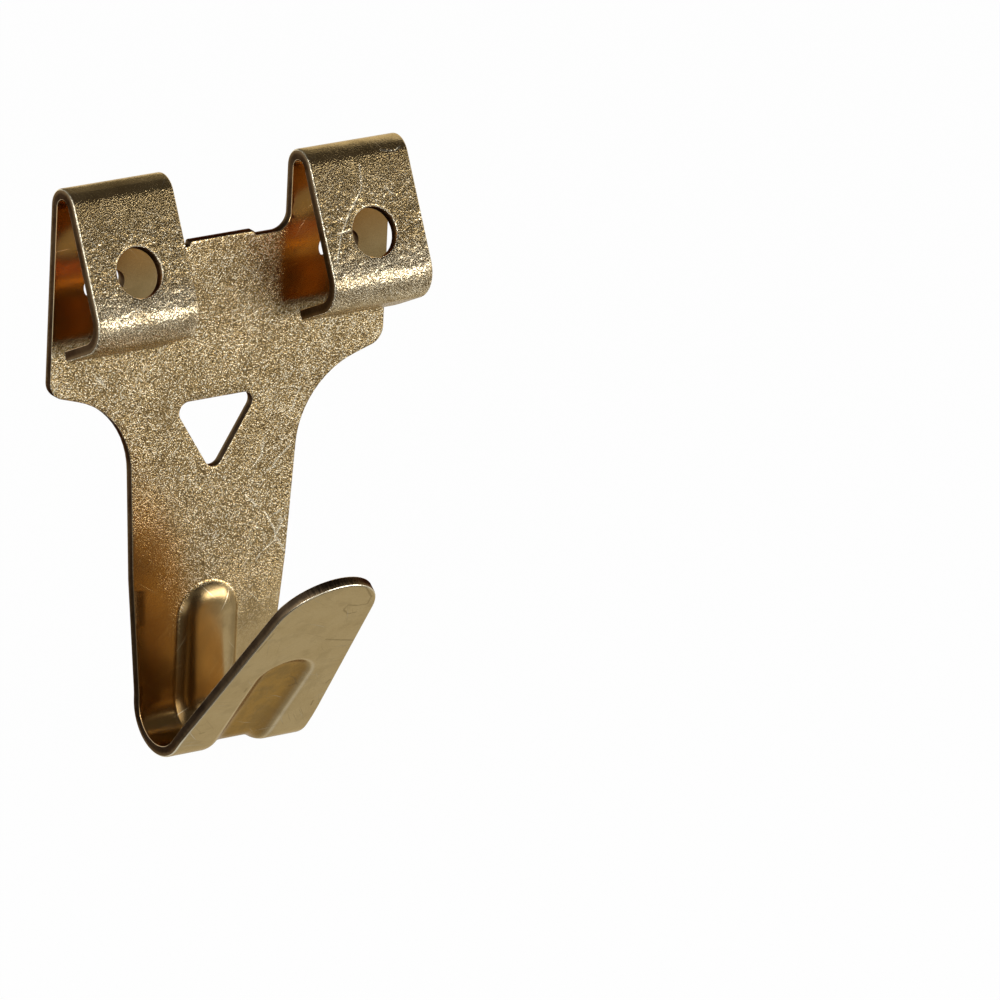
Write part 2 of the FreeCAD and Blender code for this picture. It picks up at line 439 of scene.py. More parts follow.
@dataclass
class HookSheet:
    """The whole hook: one blank that is drawn, thickened, pierced, beaded and folded."""

    sheet: Sheet = field(default_factory=Sheet)
    plate: Plate = field(default_factory=Plate)
    ears: Ears = field(default_factory=Ears)
    hook: Hook = field(default_factory=Hook)
    ear_bend_strips: int = 30
    ear_fold_strips: int = 20
    hook_bend_strips: int = 32
    flat_pitch: float = 1.5
    bend_margin: float = 0.25
    dome_pitch: float = 0.2
    dome_inside: float = 0.5
    dome_outside: float = 0.15
    dome_tilt: float = 0.9
    skin_tilt: float = 0.3
    sliver: float = 0.003
    hole_sides: int = 64
    slot_sides: int = 48
    punch_length: float = 3.6
    flat_angle: float = math.radians(0.02)
    crease_angle: float = math.radians(50)
    name: str = "hook_sheet"

    def build(self) -> Piece:
        """Model the hook.

        Returns:
            The finished mesh object, in metres, with three material slots to fill.
        """
        piece = self.rim(self.draw_outline, self.name, -1)
        holes = self.rim(self.draw_holes, "holes", 1)
        make_active(piece)
        holes.select_set(True)
        bpy.ops.object.join()
        self.fill_skins()
        self.pierce_slots(piece)
        self.divide(piece)
        self.mark(piece)
        self.press_bead(piece)
        self.fold(piece)
        self.finish(piece)
        return piece

    def rim(self, draw: Callable[[Pen], None], name: str, inward: int) -> Piece:
        """Make the cut edges along closed outlines: a rolled outer rim, a straight wall and a small burr.

        Args:
            draw: Method that draws the outlines.
            name: Name of the new object.
            inward: Side of the outlines on which the sheet lies, -1 for inside and 1 for outside.

        Returns:
            Mesh object of the edges, open at both skins.
        """
        sheet = self.sheet
        deselect_objects()
        bpy.ops.mesh.primitive_plane_add(size=1)
        rim = bpy.context.object
        rim.name = name
        rim.data.name = name
        start_edit()
        bpy.ops.mesh.delete(type="VERT")
        draw(Pen(-sheet.roll))
        select_mesh()
        wall = sheet.thickness - sheet.roll - sheet.burr
        extrude(0, -wall, 0)
        select_mesh()
        bpy.ops.mesh.normals_make_consistent(inside=False)
        self.round_rim(-sheet.roll, 1, sheet.roll, sheet.roll_steps, inward)
        self.round_rim(-sheet.roll - wall, -1, sheet.burr, sheet.burr_steps, inward)
        end_edit()
        return rim

    def round_rim(self, y: float, way: int, radius: float, steps: int, inward: int) -> None:
        """Carry one end of the walls round a quarter circle into a skin.

        Args:
            y: Place of the end that is carried on.
            way: Direction along Y in which it goes on.
            radius: Radius of the quarter circle.
            steps: How many strips it gets.
            inward: Side of the outlines on which the sheet lies, -1 for inside and 1 for outside.
        """
        self.select_vertices(lambda vertex: abs(vertex.co.y - y) < MERGE)
        for step in range(steps):
            low = math.pi / 2 * step / steps
            high = math.pi / 2 * (step + 1) / steps
            rise = way * radius * (math.sin(high) - math.sin(low))
            extrude(0, rise, 0)
            narrowing = radius * (math.cos(low) - math.cos(high))
            bpy.ops.transform.shrink_fatten(value=inward * narrowing, use_even_offset=True)

    def fill_skins(self) -> None:
        """Close the joined rims with the outer and the inner skin."""
        start_edit()
        for y in (0, -self.sheet.thickness):
            self.select_vertices(lambda vertex: abs(vertex.co.y - y) < MERGE)
            bpy.ops.mesh.fill(use_beauty=True)
        select_mesh()
        bpy.ops.mesh.dissolve_limited(angle_limit=self.flat_angle)
        select_mesh()
        bpy.ops.mesh.normals_make_consistent(inside=False)
        end_edit()

    def mirror_drawing(self) -> None:
        """Add the left half of what is drawn."""
        select_mesh()
        bpy.ops.mesh.duplicate()
        bpy.ops.transform.resize(value=(-1, 1, 1), center_override=(0, 0, 0))
        select_mesh()
        bpy.ops.mesh.remove_doubles(threshold=MERGE)

    @property
    def half_width(self) -> float:
        """Half of the plate's width."""
        return self.plate.width / 2

    @property
    def ear_inner(self) -> float:
        """Inner edge of the right ear."""
        return self.half_width - self.ears.width

    @property
    def ear_centre(self) -> float:
        """Middle of the right ear."""
        return self.half_width - self.ears.width / 2

    @property
    def nail_hole_v(self) -> float:
        """Place of the nail holes along the flat blank, on the line of nails that end in the slots.

        Returns:
            Coordinate along the blank.
        """
        ears = self.ears
        face_top_y = -ears.bend_outer - ears.bend_outer * math.cos(ears.lean)
        face_top_z = ears.bend_rise + ears.bend_outer * math.sin(ears.lean)
        forward = -self.sheet.thickness - face_top_y
        return ears.face_start - forward * math.sin(ears.lean) + face_top_z * math.cos(ears.lean)

    def draw_outline(self, pen: Pen) -> None:
        """Draw the outline of the blank, from the tab on the bar to the tip of the lip.

        Args:
            pen: Pen in the plane of the outline.
        """
        plate, ears, hook = self.plate, self.ears, self.hook
        half_hook = hook.width / 2
        tab_turn = plate.tab_rise / 2
        tab_x = plate.tab_width / 2
        pen.start(Vector((0, plate.bar_rise + plate.tab_rise)))
        pen.line_to(Vector((tab_x - tab_turn, plate.bar_rise + plate.tab_rise)))
        tab_side = Vector((tab_x, plate.bar_rise + tab_turn))
        pen.arc_to(tab_side - Vector((tab_turn, 0)), tab_side)
        pen.arc_to(tab_side + Vector((tab_turn, 0)), Vector((tab_x + tab_turn, plate.bar_rise)))

        pen.line_to(Vector((self.ear_inner - ears.root, plate.bar_rise)))
        root_centre = Vector((self.ear_inner - ears.root, plate.bar_rise + ears.root))
        pen.arc_to(root_centre, root_centre + Vector((ears.root, 0)))
        corner = ears.flange_corner
        pen.line_to(Vector((self.ear_inner, ears.end - corner)))
        inner_corner = Vector((self.ear_inner + corner, ears.end - corner))
        pen.arc_to(inner_corner, Vector((self.ear_inner + corner, ears.end)))
        pen.line_to(Vector((self.half_width - corner, ears.end)))
        outer_corner = Vector((self.half_width - corner, ears.end - corner))
        pen.arc_to(outer_corner, Vector((self.half_width, ears.end - corner)))

        flank_centre = Vector((plate.flank_waist / 2 + plate.flank_radius, -plate.flank_drop))
        outward = Vector((math.cos(plate.wing_slope), math.sin(plate.wing_slope)))
        square = Vector((-outward.y, outward.x))
        flank_start = flank_centre + square * plate.flank_radius
        above = flank_start + square * plate.wing_corner
        wing_centre = above + outward * ((self.half_width - plate.wing_corner - above.x) / outward.x)
        pen.line_to(wing_centre + Vector((plate.wing_corner, 0)))
        pen.arc_to(wing_centre, wing_centre - square * plate.wing_corner)
        pen.line_to(flank_start)

        foot = Vector((half_hook, -hook.drop))
        foot_centre = foot + Vector((plate.foot_radius, 0))
        flank = Circle(flank_centre, plate.flank_radius)
        bow_centre, flank_end, foot_start = bulge(
            flank, Circle(foot_centre, plate.foot_radius), plate.stem_bow
        )
        pen.arc_to(flank_centre, flank_end)
        pen.arc_to(bow_centre, foot_start)
        pen.arc_to(foot_centre, foot)

        lip_root = Vector((half_hook, hook.lip_start))
        lip_centre = lip_root - Vector((hook.flank_radius, 0))
        tip_centre = Vector((0, hook.end + hook.tip_radius))
        lip_end, tip_start = tangent(
            Circle(lip_centre, hook.flank_radius), Circle(tip_centre, hook.tip_radius)
        )
        pen.line_to(lip_root)
        pen.arc_to(lip_centre, lip_end)
        pen.line_to(tip_start)
        pen.arc_to(tip_centre, tip_centre - Vector((0, hook.tip_radius)))
        self.mirror_drawing()

    def draw_holes(self, pen: Pen) -> None:
        """Draw the three-cornered window and the ears' nail holes.

        Args:
            pen: Pen in the plane of the outline.
        """
        plate = self.plate
        radius = plate.window_corner
        upper = Vector((plate.window_width / 2, -plate.window_drop))
        lower = Vector((0, -plate.window_drop - plate.window_height))
        side = (lower - upper).normalized()
        square = Vector((-side.y, side.x))
        half_corner = side.angle(Vector((-1, 0))) / 2
        upper_centre = upper + Vector((-radius / math.tan(half_corner), -radius))
        lower_centre = lower + Vector((0, radius / abs(side.x)))
        pen.start(Vector((0, upper.y)))
        pen.line_to(Vector((upper_centre.x, upper.y)))
        pen.arc_to(upper_centre, upper_centre + square * radius)
        pen.line_to(lower_centre + square * radius)
        pen.arc_to(lower_centre, lower_centre - Vector((0, radius)))
        self.mirror_drawing()
        for side in (-1, 1):
            bpy.ops.mesh.primitive_circle_add(
                vertices=self.hole_sides,
                radius=self.ears.nail_hole / 2,
                location=(side * self.ear_centre, pen.y, self.nail_hole_v),
                rotation=(math.pi / 2, 0, 0),
            )

    def select_faces(self, wanted: Callable[[bmesh.types.BMFace], bool]) -> None:
        """Select the faces of the edited mesh for which a test is true.

        Args:
            wanted: Test that takes a face.
        """
        deselect_mesh()
        mesh = bpy.context.edit_object.data
        bm = bmesh.from_edit_mesh(mesh)
        for face in bm.faces:
            if wanted(face):
                face.select_set(True)
        bmesh.update_edit_mesh(mesh)

    def select_vertices(self, wanted: Callable[[bmesh.types.BMVert], bool]) -> None:
        """Select the vertices of the edited mesh for which a test is true, and what lies between them.

        Args:
            wanted: Test that takes a vertex.
        """
        deselect_mesh()
        mesh = bpy.context.edit_object.data
        bm = bmesh.from_edit_mesh(mesh)
        for vertex in bm.verts:
            if wanted(vertex):
                vertex.select_set(True)
        bm.select_flush_mode()
        bmesh.update_edit_mesh(mesh)

    def pierce_slots(self, piece: Piece) -> None:
        """Cut the two nail slots right through the plate.

        Args:
            piece: The flat blank.
        """
        radius = self.plate.slot_height / 2
        stretch = self.plate.slot_length / 2 - radius
        for side in (-1, 1):
            deselect_objects()
            bpy.ops.mesh.primitive_cylinder_add(
                vertices=self.slot_sides,
                radius=radius,
                depth=self.punch_length,
                location=(side * self.ear_centre, 0, 0),
                rotation=(math.pi / 2, 0, 0),
            )
            punch = bpy.context.object
            bpy.ops.object.transform_apply(location=True, rotation=True, scale=True)
            start_edit()
            for end in (-1, 1):
                middle = side * self.ear_centre
                self.select_vertices(lambda vertex: (vertex.co.x - middle) * end > MERGE)
                bpy.ops.transform.translate(value=(end * stretch, 0, 0))
            end_edit()
            apply_modifier(piece, "BOOLEAN", operation="DIFFERENCE", solver="EXACT", object=punch)
            bpy.data.objects.remove(punch)
        self.settle(piece)

    @staticmethod
    def settle(piece: Piece) -> None:
        """Sort the points and faces by place, because the punch leaves them in a new order each time.

        Args:
            piece: The flat, pierced blank.
        """
        mesh = piece.data
        order = sorted(range(len(mesh.vertices)), key=lambda index: tuple(mesh.vertices[index].co))
        points = [tuple(mesh.vertices[index].co) for index in order]
        rank = {old: new for new, old in enumerate(order)}
        faces = []
        for face in mesh.polygons:
            corners = [rank[index] for index in face.vertices]
            first = corners.index(min(corners))
            faces.append(corners[first:] + corners[:first])
        bm = bmesh.new()
        vertices = [bm.verts.new(point) for point in points]
        for corners in sorted(faces):
            bm.faces.new([vertices[index] for index in corners])
        bm.to_mesh(mesh)
        bm.free()

    def lines_along(self) -> list[float]:
        """Places along the blank where it is divided across.

        Returns:
            Coordinates along the flat blank.
        """
        ears, hook = self.ears, self.hook
        spans = [
            (ears.bend_rise, ears.face_start, self.ear_bend_strips),
            (ears.fold_start, ears.flange_start, self.ear_fold_strips),
            (hook.lip_start, -hook.drop, self.hook_bend_strips),
        ]
        lines = []
        for low, high, strips in spans:
            lines += spread(low, high, strips)
            lines += [low - self.bend_margin, high + self.bend_margin]
        reach = hook.bead_width / 2 + self.dome_pitch
        steps = math.ceil(reach / self.dome_pitch)
        for step in range(steps + 1):
            lines += [hook.bead_top + step * reach / steps, hook.bead_bottom - step * reach / steps]
        flats = [
            (ears.face_start, ears.fold_start),
            (ears.flange_start, ears.end),
            (hook.bead_top + reach, ears.bend_rise),
            (-hook.drop, hook.bead_top),
            (hook.bead_bottom, hook.lip_start),
            (hook.end, hook.bead_bottom - reach),
        ]
        for low, high in flats:
            cells = math.ceil((high - low) / self.flat_pitch)
            lines += spread(low, high, cells)[1:-1]
        return lines

    def lines_across(self) -> list[float]:
        """Places across the blank where it is divided along.

        Returns:
            Coordinates from the centre line, on both sides of it.
        """
        half = self.hook.bead_width / 2
        inner_shoulder = self.hook.bead_shoulder - self.sheet.thickness
        foot = inner_shoulder * math.sin(self.hook.bead_slope)
        right = [half + foot, half - foot / 3, half - 2 * foot / 3]
        cells = math.ceil((half - foot) / self.dome_pitch)
        right += spread(0, half - foot, cells)[1:]
        right += [half]
        cells = math.ceil((self.half_width - half) / self.flat_pitch)
        right += spread(half, self.half_width, cells)[1:-1]
        return [0.0] + right + [-place for place in right]

    def divide(self, piece: Piece) -> None:
        """Divide the blank where it will bend and where the bead will rise.

        Args:
            piece: The flat blank.
        """
        make_active(piece)
        start_edit()
        cuts = [((0, 0, place), (0, 0, 1)) for place in self.lines_along()]
        cuts += [((place, 0, 0), (1, 0, 0)) for place in self.lines_across()]
        for place, normal in cuts:
            select_mesh()
            bpy.ops.mesh.bisect(plane_co=place, plane_no=normal, threshold=MERGE)
        hook = self.hook
        half = hook.bead_width / 2
        for centre, way in ((hook.bead_top, 1), (hook.bead_bottom, -1)):
            def in_dome(face: bmesh.types.BMFace) -> bool:
                """Tell whether a face lies in a skin on the rim of the dome.

                Args:
                    face: Face of the edited mesh.

                Returns:
                    True if it does.
                """
                place = face.calc_center_median()
                distance = math.hypot(place.x, place.z - centre)
                beyond = (place.z - centre) * way > 0
                on_rim = half - self.dome_inside < distance < half + self.dome_outside
                return beyond and on_rim and abs(face.normal.y) > self.dome_tilt
            self.select_faces(in_dome)
            bpy.ops.mesh.subdivide(number_cuts=1)
        select_mesh()
        bpy.ops.mesh.remove_doubles(threshold=self.sliver)
        bpy.ops.mesh.dissolve_degenerate(threshold=self.sliver)
        end_edit()

    def mark(self, piece: Piece) -> None:
        """Note each vertex's place on the flat blank, and sort the faces into skins and cut edges.

        Args:
            piece: The flat, divided blank.
        """
        mesh = piece.data
        places = mesh.attributes.new(BLANK, "FLOAT_VECTOR", "POINT")
        for vertex in mesh.vertices:
            places.data[vertex.index].vector = vertex.co
        for _ in Skin:
            mesh.materials.append(None)
        for face in mesh.polygons:
            if face.normal.y > self.skin_tilt:
                face.material_index = Skin.OUTER.value
            elif face.normal.y < -self.skin_tilt:
                face.material_index = Skin.INNER.value
            else:
                face.material_index = Skin.CUT.value

    def press_bead(self, piece: Piece) -> None:
        """Press the bead forward from the outer skin.

        Args:
            piece: The flat, divided blank.
        """
        hook = self.hook
        bead = piece.vertex_groups.new(name="bead")
        shares = {}
        for vertex in piece.data.vertices:
            x, y, v = vertex.co
            overshoot = max(v - hook.bead_top, hook.bead_bottom - v, 0)
            offset = self.sheet.thickness if y < -self.sheet.thickness / 2 else 0
            share = hook.bead_rise(
                math.hypot(x, overshoot), hook.bead_shoulder - offset, hook.bead_floor + offset
            )
            if share > 0:
                shares[vertex.index] = share
        for index, share in shares.items():
            bead.add([index], share, "REPLACE")
        apply_modifier(
            piece,
            "DISPLACE",
            direction="Y",
            mid_level=0.0,
            strength=-hook.bead_depth,
            vertex_group=bead.name,
        )
        piece.vertex_groups.clear()
        pressed = piece.data.attributes.new(PRESSED, "FLOAT", "POINT")
        for index, share in shares.items():
            pressed.data[index].value = share

    def fold(self, piece: Piece) -> None:
        """Fold the ears over the top and back, and the lip up round the hook bend.

        Args:
            piece: The flat, beaded blank.
        """
        ears, hook = self.ears, self.hook
        make_active(piece)
        start_edit()
        bend_axis = Vector((0, -ears.bend_outer, ears.bend_rise))
        out = Vector((0, -math.cos(ears.lean), math.sin(ears.lean)))
        down = Vector((0, -math.sin(ears.lean), -math.cos(ears.lean)))
        fold_axis = bend_axis + out * (ears.bend_outer - ears.fold_outer) + down * ears.face_length
        up = Vector((0, 0, 1))
        self.bend(ears.bend_rise, ears.face_start, self.ear_bend_strips, bend_axis, up, ears.bend_angle)
        self.bend(ears.fold_start, ears.flange_start, self.ear_fold_strips, fold_axis, down, math.pi / 2)
        hook_axis = Vector((0, -hook.bend_outer, -hook.drop))
        self.bend(-hook.drop, hook.lip_start, self.hook_bend_strips, hook_axis, -up, -hook.bend_angle)
        end_edit()

    def bend(
        self, start: float, end: float, strips: int, axis: Vector, onward: Vector, angle: float
    ) -> None:
        """Wrap a stretch of the blank round an axis along X, strip by strip, and carry what is beyond it.

        Args:
            start: Place along the blank where the bend starts.
            end: Place along the blank where the bend ends.
            strips: How many strips the stretch is divided into.
            axis: Point on the axis.
            onward: Direction in which the sheet runs where the bend starts.
            angle: Whole turn of the bend, right-handed about +X.
        """
        mesh = bpy.context.edit_object.data
        bm = bmesh.from_edit_mesh(mesh)
        layer = bm.verts.layers.float_vector[BLANK]
        way = 1 if end > start else -1
        for strip in range(1, strips + 1):
            line = start + (end - start) * strip / strips
            deselect_mesh()
            for vertex in bm.verts:
                if (vertex[layer].z - line) * way > -2 * self.sliver:
                    vertex.select_set(True)
            bm.select_flush_mode()
            tangent_now = Matrix.Rotation(angle * (strip - 1) / strips, 3, "X") @ onward
            bpy.ops.transform.translate(value=tangent_now * (-abs(end - start) / strips))
            turn(angle / strips, axis)

    def finish(self, piece: Piece) -> None:
        """Scale the folded sheet to metres and smooth its shading.

        Args:
            piece: The folded sheet.
        """
        make_active(piece)
        start_edit()
        select_mesh()
        bpy.ops.transform.resize(value=(MM, MM, MM), center_override=(0, 0, 0))
        end_edit()
        bpy.ops.object.shade_smooth_by_angle(angle=self.crease_angle)
        apply_modifier(piece, "WEIGHTED_NORMAL", keep_sharp=True)


class Tree:
    """Short ways to add and join the nodes of one node tree."""

    def __init__(self, tree: bpy.types.NodeTree) -> None:
        """Take a node tree to work on."""
        self.tree = tree

    def add(
        self, kind: str, inputs: dict[str | int, object] | None = None, **settings: object
    ) -> bpy.types.Node:
        """Add a node.

        Args:
            kind: Type of the node, without the words ShaderNode.
            inputs: Values for its sockets, or sockets to join to them, by name or number.
            settings: Values of its properties.

        Returns:
            The new node.
        """
        node = self.tree.nodes.new(f"ShaderNode{kind}")
        for name, value in settings.items():
            setattr(node, name, value)
        for key, value in (inputs or {}).items():
            self.join(value, node.inputs[key])
        return node

    def join(self, value: object, socket: Socket) -> None:
        """Link a socket to an input, or set the input's value.

        Args:
            value: Socket to link, or the value.
            socket: The input.
        """
        if isinstance(value, Socket):
            self.tree.links.new(value, socket)
        elif isinstance(value, tuple) and socket.type == "RGBA":
            socket.default_value = (*value, 1.0)
        else:
            socket.default_value = value

    def math(self, operation: str, *values: object, clamp: bool = False) -> Socket:
        """Add a math node and give its result."""
        node = self.add("Math", dict(enumerate(values)), operation=operation, use_clamp=clamp)
        return node.outputs[0]

    def times(self, first: object, second: object) -> Socket:
        """Add a product and give its result."""
        return self.math("MULTIPLY", first, second)

    def ramp(self, value: object, low: float, high: float, start: float = 0.0, end: float = 1.0) -> Socket:
        """Add a smooth map from one range to another and give its result."""
        inputs = {"Value": value, "From Min": low, "From Max": high, "To Min": start, "To Max": end}
        return self.add("MapRange", inputs, interpolation_type="SMOOTHSTEP").outputs["Result"]

    def blend(self, share: object, first: object, second: object) -> Socket:
        """Add a mix of two colours and give its result.

        Args:
            share: Share of the second colour.
            first: The first colour.
            second: The second colour.

        Returns:
            Socket of the mixed colour.
        """
        node = self.add("Mix", {"Factor": share}, data_type="RGBA")
        self.join(first, node.inputs[FIRST_COLOUR])
        self.join(second, node.inputs[SECOND_COLOUR])
        return node.outputs[MIXED_COLOUR]

    def noise(self, vector: object, scale: object, detail: float = 2.0, rough: float = 0.5) -> Socket:
        """Add a noise texture and give its value."""
        inputs = {"Vector": vector, "Scale": scale, "Detail": detail, "Roughness": rough}
        return self.add("TexNoise", inputs).outputs[0]

    def turned(self, vector: object, angle: float, size: tuple[float, float, float]) -> Socket:
        """Turn a pattern in the plane of the blank and stretch it, and give its vector."""
        inputs = {"Vector": vector, "Rotation": (0.0, angle, 0.0), "Scale": size}
        return self.add("Mapping", inputs, vector_type="TEXTURE").outputs[0]


class Effects:
    """Node groups that the finishes share."""

    RISING = (math.radians(-50), (0.65, 0.4, 0.1))
    FALLING = (math.radians(25), (0.38, 0.4, 0.11))
    FALLING_SHARE = 0.94
    STREAK_SHARE = 0.8
    PATCH_SHARE = 0.18
    BRIGHT_RANGE = (1.08, 1.2)
    PIT_RANGE = (1.0, 0.88)
    HAIRLINE_TURNS = (-62.0, -18.0, 41.0)
    HAIRLINE_SIZE = (5.0, 1.0, 0.11)
    HAIRLINE_SWAY = (2.5, 0.0, 2.5)
    HAIRLINE_LIMIT = 0.8
    HAIRLINE_COVER = -0.16
    HAIRLINE_EDGE = 0.06
    CLOUD_RANGE = (0.32, 0.68)
    RAGGED_RANGE = (0.3, 0.6)
    RAGGED_WIDTH = (0.35, 1.2)

    def __init__(self) -> None:
        """Build the groups once."""
        self.flecks = self.group("flecks", self.draw_flecks, {}, ("Bright", "Pits", "Height"))
        self.hairlines = self.group("hairlines", self.draw_hairlines, {"Cover": 0.5}, ("Lines",))
        self.clouds = self.group("clouds", self.draw_clouds, {"Size": 5.0}, ("Tone",))
        ends = {"From": (0.0, 0.0, 0.0), "To": (1.0, 0.0, 0.0), "Width": 0.1}
        self.mark = self.group("mark", self.draw_mark, ends, ("Line",))

    @staticmethod
    def group(
        name: str, draw: Callable[..., Results], values: dict[str, object], outputs: tuple[str, ...]
    ) -> bpy.types.NodeTree:
        """Make one node group, with a place on the blank in millimetres as its first input.

        Args:
            name: Name of the group.
            draw: Method that fills it and gives its results by output.
            values: Its other inputs with their defaults.
            outputs: Its outputs, all numbers.

        Returns:
            The new group.
        """
        tree = bpy.data.node_groups.new(name, "ShaderNodeTree")
        tree.interface.new_socket("Vector", in_out="INPUT", socket_type="NodeSocketVector")
        for title, value in values.items():
            kind = "NodeSocketVector" if isinstance(value, tuple) else "NodeSocketFloat"
            tree.interface.new_socket(title, in_out="INPUT", socket_type=kind).default_value = value
        for title in outputs:
            tree.interface.new_socket(title, in_out="OUTPUT", socket_type="NodeSocketFloat")
        taken = tree.nodes.new("NodeGroupInput")
        given = tree.nodes.new("NodeGroupOutput")
        for title, socket in draw(Tree(tree), taken.outputs).items():
            tree.links.new(socket, given.inputs[title])
        return tree

    @staticmethod
    def draw_flecks(tree: Tree, taken: Sockets) -> Results:
        """Short bright marks in two directions with dark pits between them, as tumbling leaves on sheet.

        Args:
            tree: Node tree of the group.
            taken: Inputs of the group.

        Returns:
            Results by output.
        """
        vector = taken["Vector"]
        grain = tree.noise(vector, scale=7.5, detail=1.0)
        rising = tree.turned(vector, *Effects.RISING)
        rising = tree.noise(rising, scale=1.0, detail=1.0)
        falling = tree.turned(vector, *Effects.FALLING)
        falling = tree.noise(falling, scale=1.0, detail=1.0)
        streaks = tree.math("MAXIMUM", rising, tree.times(falling, Effects.FALLING_SHARE))
        height = tree.math("ADD", grain, tree.times(streaks, Effects.STREAK_SHARE))
        patches = tree.noise(vector, scale=0.7)
        height = tree.math("MULTIPLY_ADD", patches, Effects.PATCH_SHARE, height)
        bright = tree.ramp(height, *Effects.BRIGHT_RANGE)
        pits = tree.ramp(height, *Effects.PIT_RANGE)
        relief = tree.math("MULTIPLY_ADD", pits, -1.0, bright)
        return {"Bright": bright, "Pits": pits, "Height": relief}

    @staticmethod
    def draw_hairlines(tree: Tree, taken: Sockets) -> Results:
        """Long thin scratches that run in three directions and fade out.

        Args:
            tree: Node tree of the group.
            taken: Inputs of the group.

        Returns:
            Results by output.
        """
        vector = taken["Vector"]
        wander = tree.add("TexNoise", {"Vector": vector, "Scale": 0.15, "Detail": 0.0}).outputs["Color"]
        sway = {0: wander, 1: Effects.HAIRLINE_SWAY, 2: vector}
        bent = tree.add("VectorMath", sway, operation="MULTIPLY_ADD").outputs[0]
        limit = tree.math("MULTIPLY_ADD", taken["Cover"], Effects.HAIRLINE_COVER, Effects.HAIRLINE_LIMIT)
        lines = None
        for degrees in Effects.HAIRLINE_TURNS:
            streaks = tree.turned(bent, math.radians(degrees), Effects.HAIRLINE_SIZE)
            streaks = tree.noise(streaks, scale=1.0, detail=0.0)
            over = tree.ramp(tree.math("SUBTRACT", streaks, limit), 0.0, Effects.HAIRLINE_EDGE)
            lines = over if lines is None else tree.math("MAXIMUM", lines, over)
        return {"Lines": lines}

    @staticmethod
    def draw_clouds(tree: Tree, taken: Sockets) -> Results:
        """Soft uneven tone.

        Args:
            tree: Node tree of the group.
            taken: Inputs of the group.

        Returns:
            Results by output.
        """
        share = tree.math("DIVIDE", 1.0, taken["Size"])
        tone = tree.noise(taken["Vector"], share, detail=4.0, rough=0.6)
        return {"Tone": tree.ramp(tone, *Effects.CLOUD_RANGE)}

    @staticmethod
    def draw_mark(tree: Tree, taken: Sockets) -> Results:
        """One scratch between two places, ragged along its length.

        Args:
            tree: Node tree of the group.
            taken: Inputs of the group.

        Returns:
            Results by output.
        """
        def vector_math(operation: str, *values: object) -> bpy.types.Node:
            """Add a node that reckons with vectors."""
            return tree.add("VectorMath", dict(enumerate(values)), operation=operation)

        ragged = tree.noise(taken["Vector"], scale=4.0)
        flat = vector_math("MULTIPLY", taken["Vector"], (1.0, 0.0, 1.0)).outputs[0]
        run = vector_math("SUBTRACT", taken["To"], taken["From"]).outputs[0]
        away = vector_math("SUBTRACT", flat, taken["From"]).outputs[0]
        reach = vector_math("DOT_PRODUCT", away, run).outputs["Value"]
        whole = vector_math("DOT_PRODUCT", run, run).outputs["Value"]
        share = tree.math("DIVIDE", reach, whole, clamp=True)
        foot = vector_math("SCALE", run).outputs[0]
        tree.join(share, foot.node.inputs["Scale"])
        gap = vector_math("DISTANCE", away, foot).outputs["Value"]
        width = tree.ramp(ragged, *Effects.RAGGED_RANGE, *Effects.RAGGED_WIDTH)
        width = tree.times(taken["Width"], width)
        line = tree.math("SUBTRACT", 1.0, tree.math("DIVIDE", gap, width), clamp=True)
        return {"Line": line}


@dataclass(frozen=True)
class Zone:
    """Stretch along the blank, in millimetres, that fades in and out."""

    low: float
    high: float
    fade: float
    beyond: float = 0.0
    share: float = 1.0
    side_fade: float = 1.0

    def mask(self, tree: Tree, axes: Sockets) -> Socket:
        """Give the share of the zone at a place.

        Args:
            tree: Node tree of the material.
            axes: Place on the blank, axis by axis.

        Returns:
            Socket that is 1 inside the zone.
        """
        above = tree.ramp(axes["Z"], self.low - self.fade, self.low)
        below = tree.ramp(axes["Z"], self.high + self.fade, self.high, 0.0, self.share)
        share = tree.times(above, below)
        if not self.beyond:
            return share
        aside = tree.math("ABSOLUTE", axes["X"])
        sides = tree.ramp(aside, self.beyond - self.side_fade, self.beyond + self.side_fade)
        return tree.times(share, sides)


@dataclass(frozen=True)
class Patch:
    """Oval patch of the blank, in millimetres, with a soft uneven border."""

    across: float
    along: float
    half_width: float
    half_length: float
    share: float
    border: tuple[float, float] = (1.35, 0.75)
    border_scale: float = 2.2
    border_wander: float = 0.5

    def mask(self, tree: Tree, axes: Sockets) -> Socket:
        """Give the share of the patch at a place.

        Args:
            tree: Node tree of the material.
            axes: Place on the blank, axis by axis.

        Returns:
            Socket that is largest inside the patch.
        """
        aside = tree.math("DIVIDE", tree.math("SUBTRACT", axes["X"], self.across), self.half_width)
        ahead = tree.math("DIVIDE", tree.math("SUBTRACT", axes["Z"], self.along), self.half_length)
        place = tree.add("CombineXYZ", {"X": aside, "Y": ahead}).outputs[0]
        reach = tree.add("VectorMath", {0: place}, operation="LENGTH").outputs["Value"]
        uneven = tree.noise(place, self.border_scale, detail=3.0)
        reach = tree.math("MULTIPLY_ADD", uneven, self.border_wander, reach)
        return tree.ramp(reach, *self.border, 0.0, self.share)


# Painted reflection: a warm amber patch on the left of the stem, where the lip is reflected.
PAINTED_REFLECTION_PATCH = Patch(-8.5, -32.0, 7.0, 15.0, 0.6)
SMOOTH_PATCH = Patch(-8.5, -32.0, 8.5, 16.0, 0.9)


def metal(name: str, edge_tint: Colour) -> tuple[bpy.types.Material, Tree, bpy.types.Node]:
    """Start a metal.

    Args:
        name: Name of the material.
        edge_tint: Colour of its gloss at a low angle.

    Returns:
        The new material, its node tree and its shader.
    """
    material = bpy.data.materials.new(name)
    material.use_nodes = True
    shader = material.node_tree.nodes["Principled BSDF"]
    shader.inputs["Metallic"].default_value = 1.0
    shader.inputs["Specular Tint"].default_value = (*edge_tint, 1.0)
    return material, Tree(material.node_tree), shader


